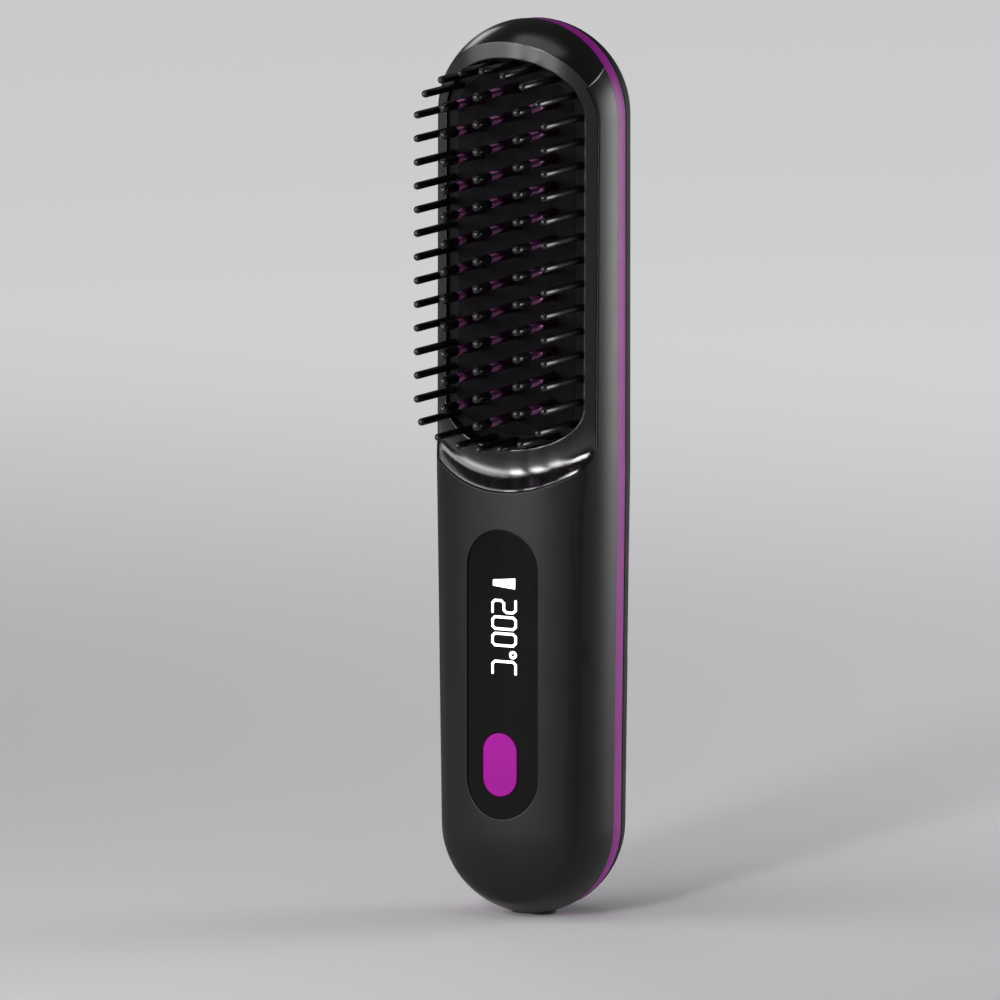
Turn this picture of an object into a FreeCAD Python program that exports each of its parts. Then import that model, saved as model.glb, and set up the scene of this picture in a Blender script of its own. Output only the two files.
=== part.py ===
import FreeCAD, Part
import math
import os

from FreeCAD import Vector

os.makedirs("parts", exist_ok=True)

# Cordless hair straightening brush. Millimetres, +Z up along the brush, the bristles face -Y.
# The origin is the middle of the charging port's mouth, on the flat foot.

# Body outline
overall_length = 189.5
body_half_width = 20.3
body_half_depth = 15.0
face_edge_depth = 10.4
base_half_width = 19.3
taper_top = 95.0
foot_drop = 0.1
wall = 1.8
cavity_end_shares = (0, 0.5, 0.86)

# Fits
fit_gap = 0.1
touch_gap = 0.05
overrun = 5.0

# Seam band
band_front_y = -0.5
band_width = 4.3
band_thickness = 1.0
band_sink = 0.12

# Head front: an arched face, set back from the handle's front by a sloped scoop
head_step = 3.0
arch_edge_depth = 6.8
arch_lean_angle = math.radians(0.4)
lip_height = 90.8
scoop_angle = math.radians(50.6)
cove_radius = 2.4
frame_thickness = 1.6
rim_thickness = 0.4
crown_seam_drop = 9.5
crown_seam_angle = math.radians(24.0)

# Outline of the bristle field
pad_margin = 4.0
pad_lip_gap = 9.0
pad_crown_gap = 7.3
pad_crown_round = 12.0
pad_base_round = 9.0
skirt_thickness = 1.2
pad_round_steps = 7

# Bristles and heated teeth
bed_depth = 4.6
plate_thickness = 2.0
rail_width = 2.5
edge_inset = 1.3
edge_pitch = 4.95
edge_length = 17.0
edge_radius = 0.8
edge_tip_radius = 0.42
edge_tip_length = 0.7
tooth_column_gap = 8.6
tooth_pitch = 5.78
tooth_end_gap = 3.1
tooth_length = 12.9
tooth_base_radius = 1.25
tooth_neck_radius = 0.9
cap_radius = 1.0
cap_tip_radius = 0.5
cap_tip_length = 0.8
cap_length = 5.9
cap_side_drop = 1.5
pin_sides = 6

# Heater stack
carrier_thickness = 1.6
carrier_margin = 0.9
carrier_tab_half_width = 12.0
carrier_tab_drop = 6.4
boss_drop = 3.6
boss_offset = 9.0
boss_radius = 2.0
heater_screw_gap = 3.5
heater_end_gap = 9.0
mica_thickness = 0.3
clamp_thickness = 1.0
clamp_inset = 3.5
clamp_screw_margin = 3.3
clamp_screw_end_gap = 13.0
thermistor_radius = 0.7
thermistor_length = 3.2
thermistor_end_gap = 5.6
fuse_radius = 1.7
fuse_length = 9.0
fuse_rise = 20.0

# Screws, with the sides of their holes and posts
screw_sides = 8
screw_radius = 0.8
screw_head_radius = 1.6
screw_head_height = 0.9
screw_bite = 2.0

# Display window and button
window_half_width = 8.4
window_length = 61.3
window_lip_gap = 7.8
window_sink = 0.25
window_thickness = 1.2
ledge_width = 2.4
ledge_end_width = 3.9
ledge_thickness = 1.0
ledge_backing = 1.2
button_half_width = 3.95
button_length = 13.4
button_rise = 11.6
button_gap = 0.2
button_proud = 0.45
button_flange = 0.7
button_flange_thickness = 0.9
button_stem_radius = 1.4

# Switch, boards and display
switch_half_width = 3.0
switch_height = 1.4
plunger_radius = 1.5
plunger_proud = 0.6
plunger_length = 1.1
plunger_bore_depth = 1.2
board_thickness = 1.2
board_half_width = 7.0
board_end_gap = 3.0
board_battery_gap = 0.8
board_post_radius = 2.2
board_post_gap = 5.1
display_half_width = 4.5
display_length = 25.0
display_end_gap = 8.0
chip_half_width = 3.5
chip_height = 1.0

# Battery
battery_radius = 9.2
battery_length = 65.0
battery_bottom = 21.3
tab_thickness = 0.25
tab_half_width = 3.0
cradle_thickness = 1.1

# Charging port and foot
usb_half_width = 4.47
usb_half_height = 1.63
usb_wall = 0.3
usb_length = 7.0
usb_sink = 0.3
usb_tongue_half_width = 3.35
usb_tongue_thickness = 0.7
usb_tongue_sink = 0.9
usb_back_length = 1.2
foot_half_width = 5.1
foot_half_depth = 2.7
foot_height = 3.2
foot_edge_chamfer = 0.35
charge_board_half_width = 6.0
charge_board_bottom = 4.8
charge_board_length = 12.4
charge_post_radius = 1.7
charge_post_offset = 4.0

# Sizes, heights and depths that follow from the sizes above


def bow_radius(half_chord, rise):
    """Radius of the arc that rises by rise over a half chord."""
    return (half_chord ** 2 + rise ** 2) / (2 * rise)


def edge_half_width(depth):
    """Half width of the body's round side at a depth from the middle."""
    return math.sqrt(body_half_width ** 2 - depth ** 2)


face_radius = bow_radius(edge_half_width(face_edge_depth), body_half_depth - face_edge_depth)
arch_radius = bow_radius(edge_half_width(arch_edge_depth), body_half_depth - head_step - arch_edge_depth)
dome_top = foot_drop + base_half_width
crown_base = overall_length - body_half_width
face_centre = face_radius - body_half_depth
band_rear_y = band_front_y + band_width
arch_front_y = head_step - body_half_depth
plate_front_y = arch_front_y + bed_depth
plate_back_y = plate_front_y + plate_thickness
carrier_back_y = plate_back_y + carrier_thickness
mica_back_y = carrier_back_y + mica_thickness
clamp_back_y = mica_back_y + clamp_thickness
pad_half_width = body_half_width - pad_margin
clamp_half_width = pad_half_width - clamp_inset
clamp_screw_offset = clamp_half_width - clamp_screw_margin
heater_half_width = clamp_screw_offset - heater_screw_gap
pad_bottom = lip_height + pad_lip_gap
pad_top = overall_length - pad_crown_gap
window_top = lip_height - window_lip_gap
window_bottom = window_top - window_length
window_depth = window_sink + window_thickness
button_height = window_bottom + button_rise
battery_y = body_half_depth - wall - 2 * fit_gap - cradle_thickness - battery_radius
battery_top = battery_bottom + battery_length
board_back_y = battery_y - battery_radius - board_battery_gap
board_front_y = board_back_y - board_thickness
board_post_low = window_bottom - board_post_gap
board_post_high = window_top + board_post_gap
switch_front_y = board_front_y - switch_height
plunger_tip_y = switch_front_y - plunger_proud


# Outline helpers


def front_at(x, inset):
    """Y of the handle's front face, moved inwards by inset, at a distance from the middle."""
    return face_centre - math.sqrt((face_radius - inset) ** 2 - x ** 2)


def quarter_ellipse(radius, rise, centre_height):
    """Quarter of an ellipse in the XZ plane, from its side to its pole on the Z axis."""
    centre = Vector(0, 0, centre_height)
    side = Vector(radius, 0, centre_height)
    pole = Vector(0, 0, centre_height + rise)
    if radius >= abs(rise):
        ellipse = Part.Ellipse(side, pole, centre)
    else:
        ellipse = Part.Ellipse(pole, side, centre)
    return Part.Arc(ellipse, 0, math.pi / 2).toShape()


def box_between(low, high):
    """Box between two corners."""
    size = high - low
    return Part.makeBox(size.x, size.y, size.z, low)


def ball_end(radius, centre, turn, axis):
    """Half ball on the end of a bar, turn being 1 upwards and -1 downwards."""
    reach = Vector(radius + overrun, radius + overrun, 0)
    far = Vector(0, 0, turn * (radius + overrun))
    ends = sorted([centre.z, centre.z + far.z])
    low = Vector(centre.x - reach.x, centre.y - reach.y, ends[0])
    high = Vector(centre.x + reach.x, centre.y + reach.y, ends[1])
    return Part.makeSphere(radius, centre, axis).common(box_between(low, high))


def stepped_end(radius, centre, turn, axis):
    """The same half ball in a few straight steps, with a flat end."""
    points = [centre]
    for share in cavity_end_shares:
        angle = turn * math.pi / 2 * share
        points.append(centre + Vector(radius * math.cos(angle), 0, radius * math.sin(angle)))
    points.append(Vector(centre.x, centre.y, points[-1].z))
    profile = Part.Face(Part.makePolygon(points + points[:1]))
    return profile.revolve(centre, Vector(0, 0, 1), 360)


def bar_form(inset, end):
    """The body moved inwards by inset: a round tapered bar, flattened by a bowed front and rear face."""
    base = Vector(0, 0, dome_top)
    shoulder = Vector(0, 0, taper_top)
    crown = Vector(0, 0, crown_base)
    base_radius = base_half_width - inset
    radius = body_half_width - inset
    bar = Part.makeCone(base_radius, radius, taper_top - dome_top, base)
    bar = bar.fuse(Part.makeCylinder(radius, crown_base - taper_top, shoulder))
    bar = bar.fuse([end(base_radius, base, -1, Vector(0, 1, 0)), end(radius, crown, 1, Vector(0, 1, 0))])
    bow = face_radius - inset
    front_axis = Vector(0, face_centre, 0)
    front = Part.makeCylinder(bow, overall_length, base + front_axis)
    front = front.fuse(end(bow, base + front_axis, -1, Vector(1, 0, 0)))
    rear = Part.makeCylinder(bow, crown_base - dome_top, base - front_axis)
    rear = rear.fuse([
        end(bow, base - front_axis, -1, Vector(1, 0, 0)), end(bow, crown - front_axis, 1, Vector(1, 0, 0))
    ])
    return bar.common(front).common(rear)


def body_form(inset):
    """The body's outline as a solid with round ends, moved inwards by inset."""
    return bar_form(inset, ball_end)


def cavity_form(inset):
    """The hollow inside the body: as body_form, with its round ends in a few straight steps."""
    return bar_form(inset, stepped_end)


def slab(y_low, y_high):
    """Everything between two Y planes."""
    reach = body_half_width + overrun
    return box_between(Vector(-reach, y_low, -overrun), Vector(reach, y_high, overall_length + overrun))


def side_prism(points):
    """Prism across the body from (Y, Z) points."""
    reach = body_half_width + overrun
    corners = [Vector(-reach, y, z) for y, z in points]
    face = Part.Face(Part.makePolygon(corners + corners[:1]))
    return face.extrude(Vector(2 * reach, 0, 0))


def stadium_prism(half_width, low, high, y_front, y_back):
    """Upright stadium outline between two heights, extruded from y_front to y_back."""
    low_centre = low + half_width
    high_centre = high - half_width
    left_low = Vector(-half_width, y_front, low_centre)
    right_low = Vector(half_width, y_front, low_centre)
    left_high = Vector(-half_width, y_front, high_centre)
    right_high = Vector(half_width, y_front, high_centre)
    edges = [
        Part.Arc(left_low, Vector(0, y_front, low), right_low).toShape(),
        Part.makeLine(right_low, right_high),
        Part.Arc(right_high, Vector(0, y_front, high), left_high).toShape(),
        Part.makeLine(left_high, left_low),
    ]
    return Part.Face(Part.Wire(edges)).extrude(Vector(0, y_back - y_front, 0))


def flat_stadium_prism(half_width, half_height, low, high):
    """Lying stadium outline about the Z axis, extruded between two heights."""
    centre = half_width - half_height
    left_front = Vector(-centre, -half_height, low)
    right_front = Vector(centre, -half_height, low)
    left_rear = Vector(-centre, half_height, low)
    right_rear = Vector(centre, half_height, low)
    edges = [
        Part.makeLine(left_front, right_front),
        Part.Arc(right_front, Vector(half_width, 0, low), right_rear).toShape(),
        Part.makeLine(right_rear, left_rear),
        Part.Arc(left_rear, Vector(-half_width, 0, low), left_front).toShape(),
    ]
    return Part.Face(Part.Wire(edges)).extrude(Vector(0, 0, high - low))


def pad_wire(grow, y):
    """Outline of the bristle field, grown by grow: straight sides between two half ellipses."""
    half_width = pad_half_width + grow
    low_side = pad_bottom + pad_base_round
    high_side = pad_top - pad_crown_round
    quarters = []
    for rise, height in ((pad_crown_round + grow, high_side), (-pad_base_round - grow, low_side)):
        quarter = quarter_ellipse(half_width, rise, height)
        quarter.translate(Vector(0, y, 0))
        quarters.append(quarter)
        quarters.append(quarter.mirror(Vector(0, 0, 0), Vector(1, 0, 0)))
    sides = [
        Part.makeLine(Vector(x, y, low_side), Vector(x, y, high_side)) for x in (-half_width, half_width)
    ]
    return Part.Wire(Part.__sortEdges__(quarters + sides))


def pad_prism(grow, y_front, y_back):
    """The bristle field's outline as a prism along Y."""
    return Part.Face(pad_wire(grow, y_front)).extrude(Vector(0, y_back - y_front, 0))


def pad_plate(grow, y_front, y_back):
    """The same prism with its round ends in straight steps, for the plates inside the field."""
    half_width = pad_half_width + grow
    corners = []
    for rise, height in ((pad_crown_round + grow, pad_top - pad_crown_round),
                         (-pad_base_round - grow, pad_bottom + pad_base_round)):
        sweep = [math.pi * step / (2 * pad_round_steps) for step in range(2 * pad_round_steps + 1)]
        turn = 1 if rise > 0 else -1
        corners += [
            Vector(turn * half_width * math.cos(a), y_front, height + rise * math.sin(a)) for a in sweep
        ]
    face = Part.Face(Part.makePolygon(corners + corners[:1]))
    return face.extrude(Vector(0, y_back - y_front, 0))


def pin(x, height, rings, sides):
    """Pin along Y through (y, radius) rings, with flat sides."""
    angles = [2 * math.pi * (side + 1 / 2) / sides for side in range(sides)]
    loops = []
    for y, radius in rings:
        loops.append([Vector(x + radius * math.cos(a), y, height + radius * math.sin(a)) for a in angles])
    outlines = [loops[0], loops[-1]]
    for near, far in zip(loops, loops[1:]):
        for side in range(sides):
            outlines.append([near[side - 1], near[side], far[side], far[side - 1]])
    faces = [Part.Face(Part.makePolygon(outline + outline[:1])) for outline in outlines]
    body = Part.Solid(Part.Shell(faces))
    if body.Volume < 0:
        body.reverse()
    return body


def post(x, height, y_front, y_back, radius):
    """Straight post along Y, also used for the holes of screws."""
    return pin(x, height, [(y_front, radius), (y_back, radius)], screw_sides)


def flat_reach(radius):
    """Distance from a post's middle to its flat sides."""
    return radius * math.cos(math.pi / screw_sides)


def upright_post(y, low, high, radius):
    """Straight post along Z, at a depth behind the middle."""
    bar = post(0, 0, low, high, radius)
    bar.rotate(Vector(0, 0, 0), Vector(1, 0, 0), 90)
    bar.translate(Vector(0, y, 0))
    return bar


def screw(x, height, y_head, y_seat, y_tip):
    """Plain screw along -Y: its head from y_seat to y_head, its shank on to y_tip."""
    head = post(x, height, y_seat, y_head, screw_head_radius)
    return head.fuse(post(x, height, y_tip, y_seat, screw_radius)).removeSplitter()


def save(node, shape):
    """Write one piece, or one group of like pieces, under its name."""
    shape.exportStep("parts/" + node + ".step")


# Body forms and the cuts that shape the head

outer = body_form(0)
inner = cavity_form(wall)
casing = outer.cut(inner)
band_floor = cavity_form(band_thickness + fit_gap)
front_limit_y = -body_half_depth - overrun


def arch(inset):
    """Round bar behind the head's arched front face, moved backwards by inset."""
    lean = Vector(0, math.sin(arch_lean_angle), math.cos(arch_lean_angle))
    middle = Vector(0, arch_front_y + arch_radius, (pad_bottom + pad_top) / 2)
    return Part.makeCylinder(arch_radius - inset, 2 * overall_length, middle - lean * overall_length, lean)


def scoop_height(y, inset):
    """Height of the scoop's slope at y, sunk by inset."""
    return lip_height - inset / math.cos(scoop_angle) + (y + body_half_depth) * math.tan(scoop_angle)


def head_space(inset):
    """All the space in front of the head's face and above the scoop's slope, both sunk by inset."""
    above_slope = side_prism([
        (front_limit_y, scoop_height(front_limit_y, inset)),
        (0, scoop_height(0, inset)),
        (0, overall_length + overrun),
        (front_limit_y, overall_length + overrun),
    ])
    return above_slope.cut(arch(inset))


def is_scoop_corner(edge):
    """True for the edge where the scoop's slope meets the head's face."""
    middle = edge.valueAt((edge.FirstParameter + edge.LastParameter) / 2)
    on_slope = abs(middle.z - scoop_height(middle.y, 0)) < fit_gap
    return on_slope and arch(0).distToShape(Part.Vertex(middle))[0] < fit_gap and edge.Length > body_half_width


raw_head_cut = head_space(0)
head_cut = raw_head_cut.makeFillet(cove_radius, [e for e in raw_head_cut.Edges if is_scoop_corner(e)])
frame_space = head_space(frame_thickness)


def crown_seam_height(y):
    """Height at y of the sloped seam under the gloss crown."""
    return overall_length - crown_seam_drop + (y - band_front_y) * math.tan(crown_seam_angle)


crown_zone = side_prism([
    (band_front_y, crown_seam_height(band_front_y)),
    (band_front_y, overall_length + overrun),
    (front_limit_y, overall_length + overrun),
    (front_limit_y, crown_seam_height(front_limit_y)),
])
foot_hole = flat_stadium_prism(
    foot_half_width + fit_gap, foot_half_depth + fit_gap, -overrun, foot_height + overrun
)


# Casing


def board_post(height):
    """Post from the handle's front wall back to the main board, with its pilot hole."""
    stem = post(0, height, front_limit_y, board_front_y, board_post_radius)
    stem = stem.common(body_form(wall / 2))
    return stem.cut(post(0, height, board_front_y - screw_bite, board_front_y, screw_radius + touch_gap))


def window_prism(grow):
    """The display window's outline, grown by grow, through the handle's front wall."""
    return stadium_prism(
        window_half_width + grow, window_bottom - grow, window_top + grow, front_limit_y, board_front_y
    )


def ledge_box(side_grow, end_grow):
    """Straight-edged outline round the window, for the ledge that carries it."""
    half_width = window_half_width + side_grow
    low = Vector(-half_width, front_limit_y, window_bottom - end_grow)
    return box_between(low, Vector(half_width, board_front_y, window_top + end_grow))


def front_shell():
    """Matte front half of the handle, with the thin walls beside the head."""
    half = casing.common(slab(front_limit_y, band_front_y))
    ledge = ledge_box(ledge_backing, ledge_backing).common(body_form(window_depth))
    ledge = ledge.cut(body_form(window_depth + ledge_thickness))
    shell = half.fuse([ledge, board_post(board_post_low), board_post(board_post_high)])
    shell = shell.cut(window_prism(0).cut(body_form(window_depth)))
    shell = shell.cut(ledge_box(-ledge_width, -ledge_end_width))
    frame_room = frame_space.fuse(pad_prism(skirt_thickness + fit_gap, front_limit_y, carrier_back_y))
    frame_room = frame_room.common(body_form(rim_thickness - fit_gap))
    return shell.cut([head_cut, frame_room, crown_zone, foot_hole]).removeSplitter()


def charge_post(x):
    """Post from the rear wall forward to the charging board."""
    height = charge_board_bottom + charge_board_length - 2 * charge_post_radius
    stem = post(x, height, usb_half_height + board_thickness, body_half_depth, charge_post_radius)
    return stem.common(body_form(wall / 2))


def rear_shell():
    """Rear half of the body."""
    half = casing.common(slab(band_rear_y, body_half_depth + overrun))
    reach = body_half_width + overrun
    tongue_zone = box_between(
        Vector(-reach, band_front_y + touch_gap, dome_top), Vector(reach, band_rear_y, crown_base)
    )
    tongue = band_floor.cut(inner).common(tongue_zone)
    shell = half.fuse([tongue, charge_post(-charge_post_offset), charge_post(charge_post_offset)])
    return shell.cut(foot_hole).removeSplitter()


def accent_band():
    """Magenta strip that lies in the groove between the two halves."""
    strip = body_form(band_sink).cut(cavity_form(band_thickness))
    return strip.common(slab(band_front_y, band_rear_y)).cut(foot_hole)


def carrier_boss(x):
    """Boss behind the scoop that takes one carrier screw."""
    height = pad_bottom - boss_drop
    boss = post(x, height, front_limit_y, plate_back_y, boss_radius)
    boss = boss.common(body_form(rim_thickness))
    return boss.cut(post(x, height, plate_back_y - screw_bite, plate_back_y, screw_radius + touch_gap))


def head_frame():
    """Gloss moulding: ring round the bristles, crown and scoop, with a skirt down to the plate."""
    seat = body_form(rim_thickness)
    crown_block = outer.common(slab(front_limit_y, band_front_y)).common(crown_zone)
    layer = frame_space.common(seat)
    crown = crown_block.cut(inner).fuse(crown_block.common(frame_space))
    skirt = pad_prism(skirt_thickness, front_limit_y, plate_back_y - touch_gap).common(seat)
    frame = layer.fuse(crown).fuse(skirt).fuse([carrier_boss(-boss_offset), carrier_boss(boss_offset)])
    frame = frame.cut(head_cut).cut(pad_prism(0, front_limit_y, band_front_y))
    return frame.removeSplitter()


# Bristle field


def bristle_rail():
    """Nylon rail round the plate that carries the outer bristles."""
    rail = pad_plate(-fit_gap, plate_front_y, plate_back_y)
    return rail.cut(pad_plate(-rail_width, plate_front_y, plate_back_y))


def edge_bristles():
    """Outer row of cool bristles, evenly spaced along the outline of the field."""
    route = pad_wire(-edge_inset, plate_front_y)
    count = round(route.Length / edge_pitch)
    tip_y = plate_front_y - edge_length
    rings = [
        (plate_front_y, edge_radius),
        (tip_y + edge_tip_length, edge_radius),
        (tip_y, edge_tip_radius),
    ]
    places = route.discretize(Number=count + 1)[:count]
    return Part.Compound([pin(place.x, place.z, rings, pin_sides) for place in places])


def heating_plate():
    """Coated plate inside the rail."""
    return pad_plate(-rail_width - fit_gap, plate_front_y, plate_back_y)


def tooth_places():
    """(x, height, cap drop) of each heated tooth: three columns, the middle one half a pitch higher."""
    column_height = pad_top - pad_bottom - 2 * (rail_width + tooth_end_gap)
    rows = int(column_height / tooth_pitch)
    first = (pad_bottom + pad_top - rows * tooth_pitch) / 2
    places = [(0, first + row * tooth_pitch, 0) for row in range(rows + 1)]
    for x in (-tooth_column_gap, tooth_column_gap):
        for row in range(rows):
            places.append((x, first + (row + 1 / 2) * tooth_pitch, cap_side_drop))
    return places


def heated_teeth():
    """Tapered metal teeth that stand on the plate."""
    teeth = []
    for x, height, drop in tooth_places():
        top_y = plate_front_y - tooth_length + drop
        rings = [(plate_front_y, tooth_base_radius), (top_y, tooth_neck_radius)]
        teeth.append(pin(x, height, rings, pin_sides))
    return Part.Compound(teeth)


def tooth_caps():
    """Heat-proof tips on the teeth."""
    caps = []
    for x, height, drop in tooth_places():
        base_y = plate_front_y - tooth_length + drop
        tip_y = base_y - cap_length
        rings = [(base_y, cap_radius), (tip_y + cap_tip_length, cap_radius), (tip_y, cap_tip_radius)]
        caps.append(pin(x, height, rings, pin_sides))
    return Part.Compound(caps)


# Heater stack


def heater_box(grow, y_back):
    """Outline of the heater behind the plate, grown by grow."""
    low = Vector(-heater_half_width - grow, plate_back_y, pad_bottom + heater_end_gap - grow)
    high = Vector(heater_half_width + grow, y_back, pad_top - heater_end_gap + grow)
    return box_between(low, high)


def clamp_screw_places():
    """(x, height) of the screws that hold the clamp on the carrier."""
    heights = (pad_bottom + clamp_screw_end_gap, pad_top - clamp_screw_end_gap)
    return [(x, height) for x in (-clamp_screw_offset, clamp_screw_offset) for height in heights]


def clamp_holes(y_front, y_back):
    """Holes for the clamp's screws."""
    return [post(x, height, y_front, y_back, screw_radius + fit_gap) for x, height in clamp_screw_places()]


def thermistor_rod(grow):
    """Sensor bead between the plate and the mica, above the heater."""
    low = pad_top - thermistor_end_gap - thermistor_length / 2 - grow
    high = low + thermistor_length + 2 * grow
    y = plate_back_y + flat_reach(thermistor_radius) + touch_gap
    return upright_post(y, low, high, thermistor_radius + grow)


def plate_carrier():
    """Heat-proof tray behind the plate, screwed to the frame below the field."""
    tray = pad_plate(carrier_margin, plate_back_y, carrier_back_y)
    tab_low = Vector(-carrier_tab_half_width, plate_back_y, pad_bottom - carrier_tab_drop)
    tab = box_between(tab_low, Vector(carrier_tab_half_width, carrier_back_y, pad_bottom + pad_base_round))
    tray = tray.fuse(tab).removeSplitter()
    cuts = [heater_box(fit_gap, carrier_back_y + overrun), thermistor_rod(fit_gap)]
    for x in (-boss_offset, boss_offset):
        cuts.append(post(x, pad_bottom - boss_drop, plate_back_y, carrier_back_y, screw_radius + fit_gap))
    for x, height in clamp_screw_places():
        cuts.append(post(x, height, plate_back_y, carrier_back_y, screw_radius + touch_gap))
    return tray.cut(cuts)


def clamp_sheet(y_front, y_back):
    """Flat sheet behind the heater, with the holes of the clamp's screws."""
    low = Vector(-clamp_half_width, y_front, pad_bottom + clamp_inset)
    sheet = box_between(low, Vector(clamp_half_width, y_back, pad_top - clamp_inset))
    return sheet.cut(clamp_holes(y_front, y_back))


def carrier_screws():
    """Screws that hold the carrier on the frame's bosses."""
    tip_y = plate_back_y - screw_bite + touch_gap
    head_y = carrier_back_y + screw_head_height
    height = pad_bottom - boss_drop
    return Part.Compound([screw(x, height, head_y, carrier_back_y, tip_y) for x in (-boss_offset, boss_offset)])


def clamp_screws():
    """Screws that press the clamp on the heater."""
    head_y = clamp_back_y + screw_head_height
    tip_y = plate_back_y + touch_gap
    return Part.Compound([screw(x, height, head_y, clamp_back_y, tip_y) for x, height in clamp_screw_places()])


def thermal_fuse():
    """Cut-out that lies on the clamp's back."""
    low = pad_bottom + fuse_rise
    y = clamp_back_y + flat_reach(fuse_radius) + touch_gap
    return upright_post(y, low, low + fuse_length, fuse_radius)


# Handle front: window, button, switch and main board


def button_prism(grow):
    """The button's outline, grown by grow, through the window."""
    low = button_height - button_length / 2 - grow
    high = button_height + button_length / 2 + grow
    return stadium_prism(button_half_width + grow, low, high, front_limit_y, board_front_y)


def display_window():
    """Gloss window that follows the handle's front, with the button's hole."""
    pane = window_prism(-fit_gap).common(body_form(window_sink))
    return pane.cut([body_form(window_depth), button_prism(button_gap)])


def power_button():
    """Stadium button with a flange behind the window and a stem on the switch."""
    cap = button_prism(0).common(body_form(window_sink - button_proud))
    flange_front_y = front_at(button_half_width + button_flange, window_depth) + fit_gap
    flange_back_y = flange_front_y + button_flange_thickness
    flange_half_width = button_half_width + button_flange
    flange_half_length = button_length / 2 + button_flange
    flange = box_between(
        Vector(-flange_half_width, flange_front_y, button_height - flange_half_length),
        Vector(flange_half_width, flange_back_y, button_height + flange_half_length),
    )
    stem = post(0, button_height, flange_front_y, plunger_tip_y, button_stem_radius)
    return cap.common(slab(front_limit_y, flange_back_y)).fuse([flange, stem]).removeSplitter()


def switch_body():
    """Push switch on the main board."""
    low = Vector(-switch_half_width, switch_front_y, button_height - switch_half_width)
    high = Vector(switch_half_width, board_front_y, button_height + switch_half_width)
    bore_end_y = switch_front_y + plunger_bore_depth
    return box_between(low, high).cut(post(0, button_height, switch_front_y, bore_end_y, plunger_radius + fit_gap))


def switch_plunger():
    """Plunger of the switch, under the button's stem."""
    return post(0, button_height, plunger_tip_y, plunger_tip_y + plunger_length, plunger_radius)


def main_board():
    """Long circuit board behind the window."""
    low = Vector(-board_half_width, board_front_y, board_post_low - board_end_gap)
    high = Vector(board_half_width, board_back_y, board_post_high + board_end_gap)
    holes = [
        post(0, height, board_front_y, board_back_y, screw_radius + fit_gap)
        for height in (board_post_low, board_post_high)
    ]
    return box_between(low, high).cut(holes)


def board_screws():
    """Screws that hold the board on its posts."""
    tip_y = board_front_y - screw_bite + touch_gap
    head_y = board_back_y + screw_head_height
    heights = (board_post_low, board_post_high)
    return Part.Compound([screw(0, height, head_y, board_back_y, tip_y) for height in heights])


def display_module():
    """Digit module between the board and the window."""
    top = window_top - display_end_gap
    bottom = top - display_length
    front_y = front_at(display_half_width, window_depth) + fit_gap
    low = Vector(-display_half_width, front_y, bottom)
    return box_between(low, Vector(display_half_width, board_front_y, top))


def control_chip():
    """Controller on the board, between the switch and the display."""
    middle = (button_height + switch_half_width + window_top - display_end_gap - display_length) / 2
    low = Vector(-chip_half_width, board_front_y - chip_height, middle - chip_half_width)
    return box_between(low, Vector(chip_half_width, board_front_y, middle + chip_half_width))


# Battery


def battery_rod(grow):
    """The cell, grown by grow."""
    base = Vector(0, battery_y, battery_bottom - grow)
    return Part.makeCylinder(battery_radius + grow, battery_length + 2 * grow, base)


def battery_tabs():
    """Contact strips on the two ends of the cell."""
    tabs = []
    for low in (battery_bottom - tab_thickness, battery_top):
        corner = Vector(-tab_half_width, battery_y - tab_half_width, low)
        tabs.append(Part.makeBox(2 * tab_half_width, 2 * tab_half_width, tab_thickness, corner))
    return Part.Compound(tabs)


def battery_cradle():
    """Half tube behind the cell, with end walls, that rests on the rear wall."""
    end_gap = tab_thickness + fit_gap
    low = battery_bottom - end_gap - cradle_thickness
    high = battery_top + end_gap + cradle_thickness
    reach = battery_radius + fit_gap + cradle_thickness
    tube = Part.makeCylinder(reach, high - low, Vector(0, battery_y, low))
    room = Part.makeCylinder(battery_radius + fit_gap, high - low - 2 * cradle_thickness,
                             Vector(0, battery_y, low + cradle_thickness))
    rear_half = box_between(Vector(-reach, battery_y, low), Vector(reach, body_half_depth, high))
    return tube.common(rear_half).cut(room)


# Charging port and foot


def usb_socket():
    """Metal shell of the charging port."""
    high = usb_sink + usb_length
    shell = flat_stadium_prism(usb_half_width, usb_half_height, usb_sink, high)
    return shell.cut(flat_stadium_prism(usb_half_width - usb_wall, usb_half_height - usb_wall, usb_sink, high))


def usb_insert():
    """Contact tongue and the block that closes the port's inner end."""
    high = usb_sink + usb_length
    block = flat_stadium_prism(usb_half_width - usb_wall - touch_gap, usb_half_height - usb_wall - touch_gap,
                               high - usb_back_length, high)
    low = Vector(-usb_tongue_half_width, -usb_tongue_thickness / 2, usb_sink + usb_tongue_sink)
    tongue = box_between(low, Vector(usb_tongue_half_width, usb_tongue_thickness / 2, high - usb_back_length))
    return Part.Compound([block, tongue])


def charge_board():
    """Small board behind the charging port."""
    low = Vector(-charge_board_half_width, usb_half_height, charge_board_bottom)
    high = Vector(charge_board_half_width, usb_half_height + board_thickness,
                  charge_board_bottom + charge_board_length)
    return box_between(low, high)


def base_foot():
    """Foot round the port's mouth, flat where the brush stands."""
    foot = flat_stadium_prism(foot_half_width, foot_half_depth, 0, foot_height)
    lower_rim = [edge for edge in foot.Edges if edge.BoundBox.ZMax < foot_edge_chamfer]
    foot = foot.makeChamfer(foot_edge_chamfer, lower_rim)
    return foot.cut(flat_stadium_prism(usb_half_width + touch_gap, usb_half_height + touch_gap,
                                       -overrun, foot_height + overrun))


# Write every piece

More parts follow.
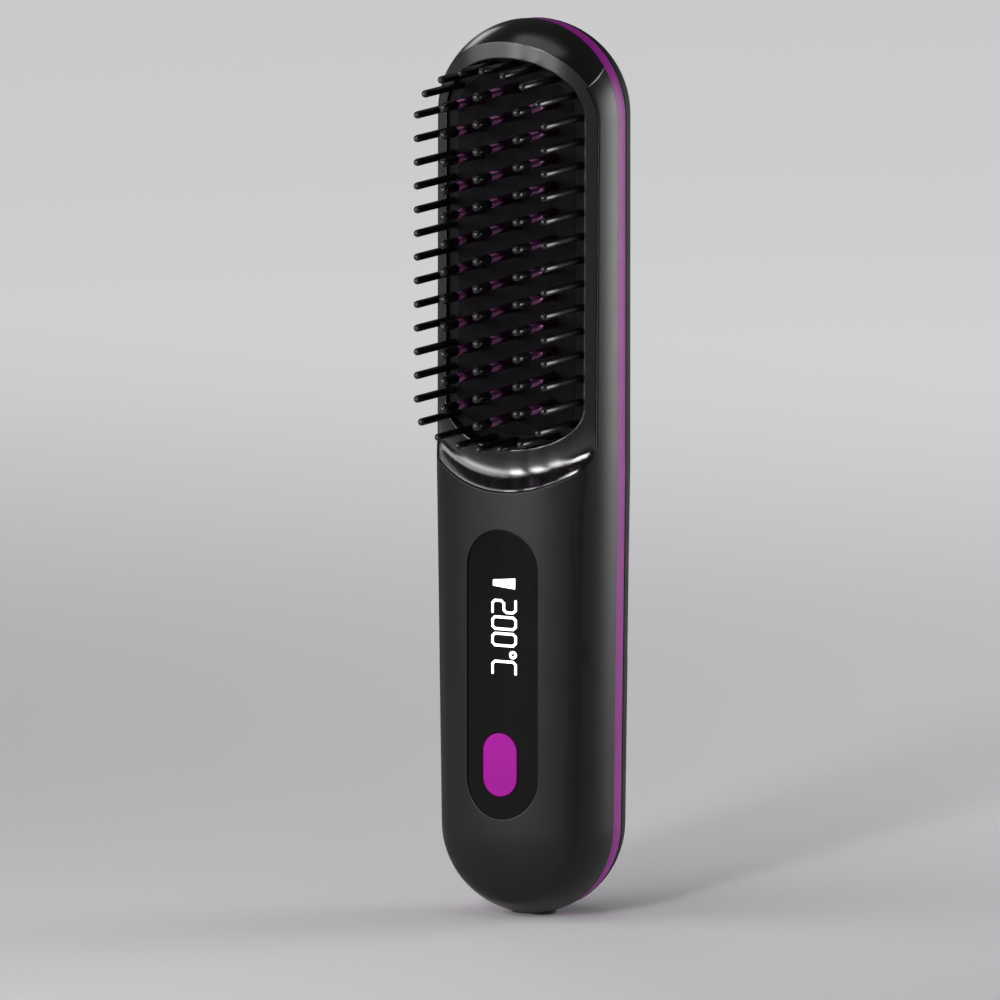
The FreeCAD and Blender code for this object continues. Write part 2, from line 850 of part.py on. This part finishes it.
save("front_shell", front_shell())
save("rear_shell", rear_shell())
save("accent_band", accent_band())
save("head_frame", head_frame())
save("bristle_rail", bristle_rail())
save("edge_bristles", edge_bristles())
save("heating_plate", heating_plate())
save("heated_teeth", heated_teeth())
save("tooth_caps", tooth_caps())
save("plate_carrier", plate_carrier())
save("carrier_screws", carrier_screws())
save("heater_element", heater_box(0, carrier_back_y))
save("mica_sheet", clamp_sheet(carrier_back_y, mica_back_y))
save("heater_clamp", clamp_sheet(mica_back_y, clamp_back_y))
save("clamp_screws", clamp_screws())
save("thermistor", thermistor_rod(0))
save("thermal_fuse", thermal_fuse())
save("display_window", display_window())
save("power_button", power_button())
save("switch_body", switch_body())
save("switch_plunger", switch_plunger())
save("main_board", main_board())
save("board_screws", board_screws())
save("display_module", display_module())
save("control_chip", control_chip())
save("battery_cell", battery_rod(0))
save("battery_tabs", battery_tabs())
save("battery_cradle", battery_cradle())
save("usb_socket", usb_socket())
save("usb_insert", usb_insert())
save("charge_board", charge_board())
save("base_foot", base_foot())
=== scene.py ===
import math

import bmesh
import bpy
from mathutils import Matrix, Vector


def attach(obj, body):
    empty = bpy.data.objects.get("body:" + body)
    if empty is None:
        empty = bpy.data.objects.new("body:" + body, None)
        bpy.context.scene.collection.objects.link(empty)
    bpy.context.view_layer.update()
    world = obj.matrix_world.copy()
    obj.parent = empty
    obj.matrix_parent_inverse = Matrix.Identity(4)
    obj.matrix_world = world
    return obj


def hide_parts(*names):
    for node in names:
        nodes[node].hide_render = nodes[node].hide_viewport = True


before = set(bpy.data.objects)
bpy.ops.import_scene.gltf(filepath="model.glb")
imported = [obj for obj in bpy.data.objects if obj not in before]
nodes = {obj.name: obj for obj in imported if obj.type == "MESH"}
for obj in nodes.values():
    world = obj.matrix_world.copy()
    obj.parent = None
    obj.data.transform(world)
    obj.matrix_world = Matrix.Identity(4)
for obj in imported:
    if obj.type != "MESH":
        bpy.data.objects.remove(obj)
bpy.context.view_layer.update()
mm = 0.001

# Camera: the photograph's direction, and the object's place in its frame
photo_azimuth = math.radians(28.0)
photo_elevation = math.radians(8.3)
photo_pixels = 1000
pixels_per_mm = 4.76
foot_pixel_x = 533.5
foot_pixel_y = 912.0
camera_distance = 8.0
camera_far_end = 20.0
sensor_width = 36.0

# Lamps: name, azimuth and elevation in degrees, distance, width and height in metres,
# spread in degrees, watts, colour
warm = (1.0, 0.99, 0.98)
pinkish = (1.0, 0.99, 1.0)
white = (1.0, 1.0, 1.0)
lamps = [
    ("key", -40.5, 7.0, 0.90, 0.53, 0.26, 90.0, 0.60, warm),
    ("core_1", -21.0, 7.0, 0.90, 0.11, 0.26, 90.0, 0.34, warm),
    ("core_2", -8.8, 7.0, 0.90, 0.11, 0.26, 90.0, 0.34, warm),
    ("core_3", 2.4, 7.0, 0.90, 0.11, 0.26, 90.0, 0.27, warm),
    ("rim", 138.0, 6.0, 0.55, 0.34, 0.30, 90.0, 0.48, pinkish),
    ("strip", -56.0, 26.0, 0.80, 0.80, 0.24, 90.0, 0.54, white),
    ("spot", 3.4, 27.0, 0.80, 0.09, 0.22, 90.0, 0.44, white),
    ("back", -132.0, 24.0, 0.90, 0.20, 0.20, 90.0, 0.068, white),
    ("overhead", 0.0, 88.0, 0.90, 0.70, 0.70, 180.0, 1.8, white),
]
lamp_target_z = 95.0 * mm
world_colour = (0.9, 0.88, 0.92, 1.0)
world_strength = 0.06

# Floor: pale, and glowing beyond the part of it that the lamps reach
floor_reach = 12.0
floor_dark = (0.68, 0.67, 0.69)
floor_light = (0.72, 0.71, 0.73)
floor_roughness = 0.7
floor_cloud_scale = 2.0
lit_middle = (-0.17, -0.47, 0.0)
glow_start = 0.45
glow_full = 1.30
glow_most = 0.54
glow_colour = (*pinkish, 1.0)

# Every moulded surface: scale and detail of its clouds, smears and grain
cloud_scale = 90.0
cloud_limits = (0.3, 0.7)
smear_scale = 220.0
smear_detail = 4.0
smear_limits = (0.25, 0.75)
grain_detail = 2.0
grain_strength = 0.35
rounding_samples = 8

# Gloss moulding: lacquered in the scoop, duller above it, and widely rounded in the scoop's cove.
# The cove lies lower than cove_top_z plus cove_bow times the square of x.
scoop_top_z = 100.0 * mm
scoop_blend = 6.0 * mm
cove_top_z = 97.0 * mm
cove_blend = 1.2 * mm
cove_bow = 18.0
ring_roughness = 0.10
lacquer_roughness = 0.08

# Soft edges
weld_distance = 0.002 * mm
sharp_limit = math.radians(38.0)

# Bristles, teeth and caps
pin_segments = 16
tip_rings = 4
tip_flat = 0.4

# Display
display_strength = 1.6
display_dark = (0.86, 0.88, 0.90)
display_cell_scale = 1500.0
display_base = (0.8, 0.8, 0.8, 1.0)
display_roughness = 0.4
window_edge_width = 0.01 * mm
glyph_lift = 0.04 * mm
stroke_half = 0.28 * mm
stroke_end_steps = 8
digit_height = 5.4 * mm
digit_width = 2.5 * mm
digit_pitch = 3.5 * mm
corner = 0.6 * mm
corner_share = 0.22
degree_radius = 0.60 * mm
degree_steps = 12
degree_gap = 0.9 * mm
letter_gap = 2.4 * mm
text_top_z = 68.1 * mm
text_middle_x = 0.8 * mm
marker_z = 71.8 * mm
marker_length = 5.2 * mm
marker_wide = 2.3 * mm
marker_narrow = 1.3 * mm
marker_steps = 6


# Material helpers


def new_material(name):
    """An empty node material with its shader and object coordinates."""
    material = bpy.data.materials.new(name)
    material.use_nodes = True
    tree = material.node_tree
    shader = tree.nodes["Principled BSDF"]
    place = tree.nodes.new("ShaderNodeTexCoord").outputs["Object"]
    return material, tree, shader, place


def noise(tree, place, scale, detail=3.0):
    """Noise in object space."""
    texture = tree.nodes.new("ShaderNodeTexNoise")
    texture.inputs["Scale"].default_value = scale
    texture.inputs["Detail"].default_value = detail
    tree.links.new(place, texture.inputs["Vector"])
    return texture.outputs["Fac"]


def ramp(tree, source, low, high):
    """Two-colour ramp over a noise."""
    node = tree.nodes.new("ShaderNodeValToRGB")
    for element, position, colour in zip(node.color_ramp.elements, cloud_limits, (low, high)):
        element.position = position
        element.color = (*colour, 1.0)
    tree.links.new(source, node.inputs["Fac"])
    return node.outputs["Color"]


def remap(tree, source, limits, results, easing="LINEAR"):
    """Maps a number between two limits to one between two results."""
    node = tree.nodes.new("ShaderNodeMapRange")
    node.interpolation_type = easing
    node.inputs["From Min"].default_value, node.inputs["From Max"].default_value = limits
    node.inputs["To Min"].default_value, node.inputs["To Max"].default_value = results
    tree.links.new(source, node.inputs["Value"])
    return node.outputs["Result"]


def calculate(tree, operation, *terms):
    """Math node over numbers and the outputs of other nodes."""
    node = tree.nodes.new("ShaderNodeMath")
    node.operation = operation
    for term, socket in zip(terms, node.inputs):
        if isinstance(term, float):
            socket.default_value = term
        else:
            tree.links.new(term, socket)
    return node.outputs["Value"]


def moulded(name, dark, light, rough, grain, metallic=0.0, specular=0.5, edge=0.0, cove_edge=0.0):
    """Moulded or coated surface: faint cloudy colour, uneven gloss and a fine grain of (scale, height)."""
    material, tree, shader, place = new_material(name)
    link = tree.links.new
    link(ramp(tree, noise(tree, place, cloud_scale), dark, light), shader.inputs["Base Color"])
    smears = noise(tree, place, smear_scale, smear_detail)
    gloss = remap(tree, smears, smear_limits, rough)
    grain_scale, grain_height = grain
    bump = tree.nodes.new("ShaderNodeBump")
    bump.inputs["Strength"].default_value = grain_strength
    bump.inputs["Distance"].default_value = grain_height
    link(noise(tree, place, grain_scale, grain_detail), bump.inputs["Height"])
    link(bump.outputs["Normal"], shader.inputs["Normal"])
    if edge > 0.0:
        rounding = tree.nodes.new("ShaderNodeBevel")
        rounding.samples = rounding_samples
        rounding.inputs["Radius"].default_value = edge
        link(rounding.outputs["Normal"], bump.inputs["Normal"])
    if cove_edge > 0.0:
        split = tree.nodes.new("ShaderNodeSeparateXYZ")
        link(place, split.inputs["Vector"])
        x = split.outputs["X"]
        z = split.outputs["Z"]
        level = calculate(tree, "MULTIPLY_ADD", calculate(tree, "MULTIPLY", x, x), -cove_bow, z)
        radius = remap(tree, level, (cove_top_z, cove_top_z + cove_blend), (cove_edge, edge))
        link(radius, rounding.inputs["Radius"])
        scoop_limits = (scoop_top_z, scoop_top_z + scoop_blend)
        gloss = calculate(tree, "ADD", gloss, remap(tree, z, scoop_limits, (0.0, ring_roughness)))
        link(remap(tree, z, scoop_limits, (1.0, 0.0)), shader.inputs["Coat Weight"])
        link(bump.outputs["Normal"], shader.inputs["Coat Normal"])
    link(gloss, shader.inputs["Roughness"])
    shader.inputs["Specular IOR Level"].default_value = specular
    shader.inputs["Metallic"].default_value = metallic
    shader.inputs["Coat Roughness"].default_value = lacquer_roughness
    return material


def glowing(name):
    """Lit display segments, a little brighter in places."""
    material, tree, shader, place = new_material(name)
    colour = ramp(tree, noise(tree, place, display_cell_scale), display_dark, white)
    tree.links.new(colour, shader.inputs["Emission Color"])
    shader.inputs["Emission Strength"].default_value = display_strength
    shader.inputs["Base Color"].default_value = display_base
    shader.inputs["Roughness"].default_value = display_roughness
    return material


# Materials


matte_shell = moulded(
    "matte_shell", dark=(0.0032, 0.0032, 0.0034), light=(0.0044, 0.0044, 0.0047),
    rough=(0.31, 0.36), grain=(5200.0, 0.012 * mm), specular=0.30, edge=0.35 * mm
)
rear_matte = moulded(
    "rear_matte", dark=(0.0032, 0.0030, 0.0034), light=(0.0044, 0.0042, 0.0047),
    rough=(0.52, 0.60), grain=(5200.0, 0.012 * mm), specular=0.12, edge=0.35 * mm
)
gloss_black = moulded(
    "gloss_black", dark=(0.0040, 0.0040, 0.0043), light=(0.0052, 0.0052, 0.0056),
    rough=(0.10, 0.14), grain=(900.0, 0.002 * mm), specular=0.50, edge=0.5 * mm, cove_edge=2.2 * mm
)
window_black = moulded(
    "window_black", dark=(0.0020, 0.0020, 0.0022), light=(0.0030, 0.0030, 0.0033),
    rough=(0.05, 0.09), grain=(700.0, 0.001 * mm), specular=0.12
)
magenta_gloss = moulded(
    "magenta_gloss", dark=(0.27, 0.010, 0.245), light=(0.32, 0.014, 0.29),
    rough=(0.34, 0.42), grain=(1400.0, 0.002 * mm), specular=0.2
)
magenta_satin = moulded(
    "magenta_satin", dark=(0.262, 0.0042, 0.222), light=(0.297, 0.006, 0.256),
    rough=(0.34, 0.42), grain=(3800.0, 0.006 * mm), specular=0.10, edge=0.5 * mm
)
black_nylon = moulded(
    "black_nylon", dark=(0.0022, 0.0022, 0.0024), light=(0.0034, 0.0034, 0.0037),
    rough=(0.26, 0.34), grain=(3000.0, 0.006 * mm)
)
rail_black = moulded(
    "rail_black", dark=(0.0014, 0.0014, 0.0016), light=(0.0022, 0.0022, 0.0025),
    rough=(0.50, 0.60), grain=(3000.0, 0.006 * mm), specular=0.08
)
purple_coating = moulded(
    "purple_coating", dark=(0.20, 0.075, 0.18), light=(0.27, 0.11, 0.24),
    rough=(0.26, 0.34), grain=(2600.0, 0.006 * mm), metallic=1.0
)
# Heating plate: its purple coating painted near-black with a faint purple hint, a painted shade for the
# deep shade among the bristles
plate_in_painted_shade = moulded(
    "plate_in_painted_shade", dark=(0.0014, 0.0010, 0.0016), light=(0.0022, 0.0014, 0.0024),
    rough=(0.50, 0.60), grain=(2600.0, 0.006 * mm), specular=0.05
)
grey_plastic = moulded(
    "grey_plastic", dark=(0.05, 0.05, 0.05), light=(0.07, 0.07, 0.07),
    rough=(0.5, 0.6), grain=(3000.0, 0.01 * mm)
)
steel = moulded(
    "steel", dark=(0.50, 0.50, 0.51), light=(0.60, 0.60, 0.61),
    rough=(0.25, 0.38), grain=(2500.0, 0.004 * mm), metallic=1.0
)
ceramic = moulded(
    "heater_ceramic", dark=(0.72, 0.70, 0.64), light=(0.82, 0.80, 0.74),
    rough=(0.55, 0.7), grain=(2500.0, 0.01 * mm)
)
mica = moulded(
    "mica", dark=(0.50, 0.43, 0.31), light=(0.64, 0.56, 0.42),
    rough=(0.35, 0.5), grain=(1800.0, 0.01 * mm)
)
amber_glass = moulded(
    "sensor_glass", dark=(0.42, 0.24, 0.07), light=(0.55, 0.33, 0.10),
    rough=(0.1, 0.2), grain=(1500.0, 0.002 * mm)
)
board_green = moulded(
    "circuit_board", dark=(0.012, 0.12, 0.045), light=(0.020, 0.17, 0.065),
    rough=(0.35, 0.5), grain=(2200.0, 0.006 * mm)
)
battery_wrap = moulded(
    "battery_can", dark=(0.07, 0.20, 0.38), light=(0.10, 0.26, 0.46),
    rough=(0.3, 0.4), grain=(1500.0, 0.004 * mm)
)
display_glow = glowing("display_glow")

node_materials = {
    "front_shell": matte_shell,
    "rear_shell": rear_matte,
    "accent_band": magenta_gloss,
    "head_frame": gloss_black,
    "bristle_rail": rail_black,
    "heating_plate": plate_in_painted_shade,
    "plate_carrier": grey_plastic,
    "carrier_screws": steel,
    "heater_element": ceramic,
    "mica_sheet": mica,
    "heater_clamp": steel,
    "clamp_screws": steel,
    "thermistor": amber_glass,
    "thermal_fuse": steel,
    "display_window": window_black,
    "power_button": magenta_satin,
    "switch_body": black_nylon,
    "switch_plunger": black_nylon,
    "main_board": board_green,
    "board_screws": steel,
    "display_module": black_nylon,
    "control_chip": black_nylon,
    "battery_cell": battery_wrap,
    "battery_tabs": steel,
    "battery_cradle": grey_plastic,
    "usb_socket": steel,
    "usb_insert": black_nylon,
    "charge_board": board_green,
    "base_foot": black_nylon,
}
for node, material in node_materials.items():
    mesh = nodes[node].data
    mesh.materials.clear()
    mesh.materials.append(material)


# Soft edges: joins each solid's faces and shades every edge flatter than the limit as rounded


def soft_edge_group(name):
    """Geometry nodes that weld a solid's faces and keep only edges over the limit sharp."""
    group = bpy.data.node_groups.new(name, "GeometryNodeTree")
    group.interface.new_socket("Geometry", in_out="INPUT", socket_type="NodeSocketGeometry")
    group.interface.new_socket("Geometry", in_out="OUTPUT", socket_type="NodeSocketGeometry")
    entry = group.nodes.new("NodeGroupInput")
    weld = group.nodes.new("GeometryNodeMergeByDistance")
    weld.inputs["Distance"].default_value = weld_distance
    forget = group.nodes.new("GeometryNodeRemoveAttribute")
    forget.inputs["Name"].default_value = "custom_normal"
    smooth = group.nodes.new("GeometryNodeSetShadeSmooth")
    smooth.domain = "FACE"
    angle = group.nodes.new("GeometryNodeInputMeshEdgeAngle")
    above = group.nodes.new("FunctionNodeCompare")
    above.data_type = "FLOAT"
    above.operation = "GREATER_THAN"
    above.inputs[1].default_value = sharp_limit
    crisp = group.nodes.new("GeometryNodeSetShadeSmooth")
    crisp.domain = "EDGE"
    crisp.inputs["Shade Smooth"].default_value = False
    leave = group.nodes.new("NodeGroupOutput")
    chain = (entry, weld, forget, smooth, crisp, leave)
    for before, after in zip(chain, chain[1:]):
        group.links.new(before.outputs["Geometry"], after.inputs["Geometry"])
    group.links.new(angle.outputs["Unsigned Angle"], above.inputs[0])
    group.links.new(above.outputs["Result"], crisp.inputs["Selection"])
    return group


soft_edges = soft_edge_group("soft_edges")
soft_nodes = (
    "front_shell", "rear_shell", "head_frame", "accent_band", "power_button", "display_window", "base_foot"
)
for node in soft_nodes:
    nodes[node].modifiers.new("soft_edges", "NODES").node_group = soft_edges


# Added pieces


def add_piece(name, shape, material):
    """Object made of a finished shape."""
    mesh = bpy.data.meshes.new(name)
    shape.to_mesh(mesh)
    shape.free()
    mesh.materials.append(material)
    piece = bpy.data.objects.new(name, mesh)
    bpy.context.scene.collection.objects.link(piece)
    return piece


# Bristles, teeth and caps: round pins where the solids' pins stand, the bristles and caps with domed tips


def pins_of(node):
    """(x, z, front y, back y, radius at the front, radius at the back) of each pin of a node."""
    shape = bmesh.new()
    shape.from_mesh(nodes[node].data)
    bmesh.ops.remove_doubles(shape, verts=shape.verts, dist=weld_distance)
    taken = set()
    pins = []
    for start in shape.verts:
        if start in taken:
            continue
        taken.add(start)
        island = [start]
        for vert in island:
            for edge in vert.link_edges:
                other = edge.other_vert(vert)
                if other not in taken:
                    taken.add(other)
                    island.append(other)
        points = [vert.co for vert in island]
        x = sum(p.x for p in points) / len(points)
        z = sum(p.z for p in points) / len(points)
        front = min(p.y for p in points)
        back = max(p.y for p in points)
        reach = [math.hypot(p.x - x, p.z - z) for p in points]
        near_back = [r for r, p in zip(reach, points) if p.y > (front + back) / 2]
        near_front = [r for r, p in zip(reach, points) if p.y < (front + back) / 2]
        pins.append((x, z, front, back, max(near_front), max(near_back)))
    shape.free()
    return sorted(pins)


def lathe(shape, x, z, rings):
    """Closed round pin along Y through (y, radius) rings."""
    loops = []
    for y, radius in rings:
        loop = []
        for step in range(pin_segments):
            angle = 2 * math.pi * step / pin_segments
            loop.append(shape.verts.new((x + radius * math.cos(angle), y, z + radius * math.sin(angle))))
        loops.append(loop)
    for near, far in zip(loops, loops[1:]):
        for step in range(pin_segments):
            shape.faces.new((near[step - 1], near[step], far[step], far[step - 1]))
    shape.faces.new(loops[0])
    shape.faces.new(loops[-1][::-1])


def domed_rings(front, back, front_radius, back_radius):
    """Rings of a pin with a round tip at its front end."""
    rings = [(back, back_radius)]
    for ring in range(tip_rings + 1):
        turn = math.pi / 2 * ring / (tip_rings + tip_flat)
        rings.append((front + front_radius * (1 - math.sin(turn)), front_radius * math.cos(turn)))
    return rings


def plain_rings(front, back, front_radius, back_radius):
    """Rings of a tapered pin with a flat end."""
    return [(back, back_radius), (front, front_radius)]


def pin_piece(name, node, material, make_rings):
    """One mesh of round pins that stands for a node."""
    shape = bmesh.new()
    for x, z, front, back, front_radius, back_radius in pins_of(node):
        lathe(shape, x, z, make_rings(front, back, front_radius, back_radius))
    bmesh.ops.recalc_face_normals(shape, faces=shape.faces)
    for face in shape.faces:
        face.smooth = len(face.verts) == 4
    piece = add_piece(name, shape, material)
    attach(piece, "housing")
    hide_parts(node)


pin_piece("round_edge_bristles", "edge_bristles", black_nylon, domed_rings)
pin_piece("round_teeth", "heated_teeth", purple_coating, plain_rings)
pin_piece("round_caps", "tooth_caps", black_nylon, domed_rings)


# Display: lit strokes on the window's face, read from top to bottom


window_points = [vert.co for vert in nodes["display_window"].data.vertices]
window_front_y = min(point.y for point in window_points)
window_half_width = max(point.x for point in window_points)
window_edge_y = min(point.y for point in window_points if point.x > window_half_width - window_edge_width)
window_drop = window_edge_y - window_front_y
window_curve = (window_half_width ** 2 + window_drop ** 2) / (2 * window_drop)


def window_y(x):
    """Y of the window's curved face at x."""
    return window_front_y + window_curve - math.sqrt(window_curve ** 2 - x ** 2)


def on_window(across, along):
    """Point on the window: across runs to +X, where the signs' heads lie, and along runs down the text."""
    x = text_middle_x + across
    return Vector((x, window_y(x) - glyph_lift, text_top_z - along))


def stroke(shape, points):
    """Rounded flat stroke along (across, along) points."""
    for (a0, b0), (a1, b1) in zip(points, points[1:]):
        heading = math.atan2(b1 - b0, a1 - a0)
        outline = []
        for (a, b), turn in (((a0, b0), math.pi / 2), ((a1, b1), -math.pi / 2)):
            for step in range(stroke_end_steps + 1):
                angle = heading + turn + math.pi * step / stroke_end_steps
                outline.append((a + stroke_half * math.cos(angle), b + stroke_half * math.sin(angle)))
        shape.faces.new([shape.verts.new(on_window(a, b)) for a, b in outline])


# Strokes of each sign, as (across, share of the digit's width) points
half = digit_height / 2
flank = half - corner
first = corner_share
last = 1 - corner_share
glyphs = {
    "2": (
        (half, 0.0), (half, last), (flank, 1.0), (corner, 1.0), (0.0, last), (0.0, first),
        (-corner, 0.0), (-flank, 0.0), (-half, first), (-half, 1.0),
    ),
    "0": (
        (half, first), (half, last), (flank, 1.0), (0.0, 1.0), (-flank, 1.0), (-half, last),
        (-half, first), (-flank, 0.0), (0.0, 0.0), (flank, 0.0), (half, first),
    ),
    "C": (
        (half, 1.0), (half, first), (flank, 0.0), (0.0, 0.0), (-flank, 0.0), (-half, first), (-half, 1.0),
    ),
}


def sign(shape, glyph, start):
    """One sign of the text, which starts a length down from the text's top."""
    stroke(shape, [(across, start + share * digit_width) for across, share in glyphs[glyph]])


def degree_ring(shape, start):
    """Small ring of the degree sign."""
    ring = []
    for step in range(degree_steps + 1):
        angle = 2 * math.pi * step / degree_steps
        across = half - degree_radius + degree_radius * math.cos(angle)
        ring.append((across, start + degree_gap + degree_radius * math.sin(angle)))
    stroke(shape, ring)


def level_marker(shape):
    """Wedge above the text."""
    along = text_top_z - marker_z
    edges = []
    for step in range(marker_steps + 1):
        share = step / marker_steps
        across = marker_length * (share - 1 / 2)
        reach = (marker_narrow + (marker_wide - marker_narrow) * share) / 2
        edges.append([shape.verts.new(on_window(across, along + side * reach)) for side in (-1, 1)])
    for low, high in zip(edges, edges[1:]):
        shape.faces.new((low[0], low[1], high[1], high[0]))


def display_text():
    """The lit temperature and the level marker above it."""
    shape = bmesh.new()
    start = 0.0
    for glyph in "200":
        sign(shape, glyph, start)
        start += digit_pitch
    degree_ring(shape, start)
    sign(shape, "C", start + letter_gap)
    level_marker(shape)
    piece = add_piece("display_text", shape, display_glow)
    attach(piece, "housing")


display_text()


# Studio: floor, soft lamps, plain world


def floor_material():
    """Pale floor that stays pale to the eye and in reflections where the lamps no longer reach it."""
    material, tree, shader, place = new_material("studio_floor")
    link = tree.links.new
    colour = ramp(tree, noise(tree, place, floor_cloud_scale), floor_dark, floor_light)
    link(colour, shader.inputs["Base Color"])
    shader.inputs["Roughness"].default_value = floor_roughness
    away = tree.nodes.new("ShaderNodeVectorMath")
    away.operation = "DISTANCE"
    away.inputs[1].default_value = lit_middle
    link(place, away.inputs[0])
    glow = remap(tree, away.outputs["Value"], (glow_start, glow_full), (0.0, glow_most), "SMOOTHSTEP")
    ray = tree.nodes.new("ShaderNodeLightPath").outputs
    seen = calculate(tree, "MAXIMUM", ray["Is Camera Ray"], ray["Is Glossy Ray"])
    seen = calculate(tree, "MAXIMUM", seen, ray["Is Transmission Ray"])
    link(calculate(tree, "MULTIPLY", glow, seen), shader.inputs["Emission Strength"])
    shader.inputs["Emission Color"].default_value = glow_colour
    return material


def studio_floor():
    """Wide flat floor under the foot."""
    shape = bmesh.new()
    corners = ((-1, -1), (1, -1), (1, 1), (-1, 1))
    shape.faces.new([shape.verts.new((floor_reach * x, floor_reach * y, 0.0)) for x, y in corners])
    floor = add_piece("studio_floor", shape, floor_material())


def aim(thing, target):
    """Turns a lamp or camera to look at a point."""
    thing.rotation_euler = (target - thing.location).to_track_quat("-Z", "Y").to_euler()


def direction(azimuth, elevation):
    """Unit vector towards an azimuth and elevation."""
    flat = math.cos(elevation)
    return Vector((math.sin(azimuth) * flat, -math.cos(azimuth) * flat, math.sin(elevation)))


def studio_lamps():
    """Soft box lamps round the object."""
    target = Vector((0.0, 0.0, lamp_target_z))
    for name, azimuth, elevation, distance, width, height, spread, watts, colour in lamps:
        lamp = bpy.data.lights.new(name, "AREA")
        lamp.shape = "RECTANGLE"
        lamp.size = width
        lamp.size_y = height
        lamp.spread = math.radians(spread)
        lamp.energy = watts
        lamp.color = colour
        holder = bpy.data.objects.new(name, lamp)
        holder.visible_camera = False
        holder.location = target + direction(math.radians(azimuth), math.radians(elevation)) * distance
        aim(holder, target)
        bpy.context.scene.collection.objects.link(holder)


def studio_world():
    """Even grey surroundings."""
    world = bpy.data.worlds.new("studio_world")
    world.use_nodes = True
    background = world.node_tree.nodes["Background"]
    background.inputs["Color"].default_value = world_colour
    background.inputs["Strength"].default_value = world_strength
    bpy.context.scene.world = world


def photo_camera():
    """Camera at the photograph's angle, with the object where it stands in the photograph."""
    right = Vector((math.cos(photo_azimuth), math.sin(photo_azimuth), 0.0))
    towards = direction(photo_azimuth, photo_elevation)
    up = towards.cross(right)
    across = (photo_pixels / 2 - foot_pixel_x) / pixels_per_mm * mm
    above = (foot_pixel_y - photo_pixels / 2) / pixels_per_mm * mm
    target = right * across + up * above
    lens = bpy.data.cameras.new("photo_camera")
    lens.sensor_width = sensor_width
    lens.lens = sensor_width * camera_distance * pixels_per_mm / (photo_pixels * mm)
    lens.clip_end = camera_far_end
    camera = bpy.data.objects.new("photo_camera", lens)
    camera.location = target + towards * camera_distance
    aim(camera, target)
    bpy.context.scene.collection.objects.link(camera)
    bpy.context.scene.camera = camera


studio_floor()
studio_lamps()
studio_world()
photo_camera()
bpy.context.scene.view_settings.view_transform = "Standard"
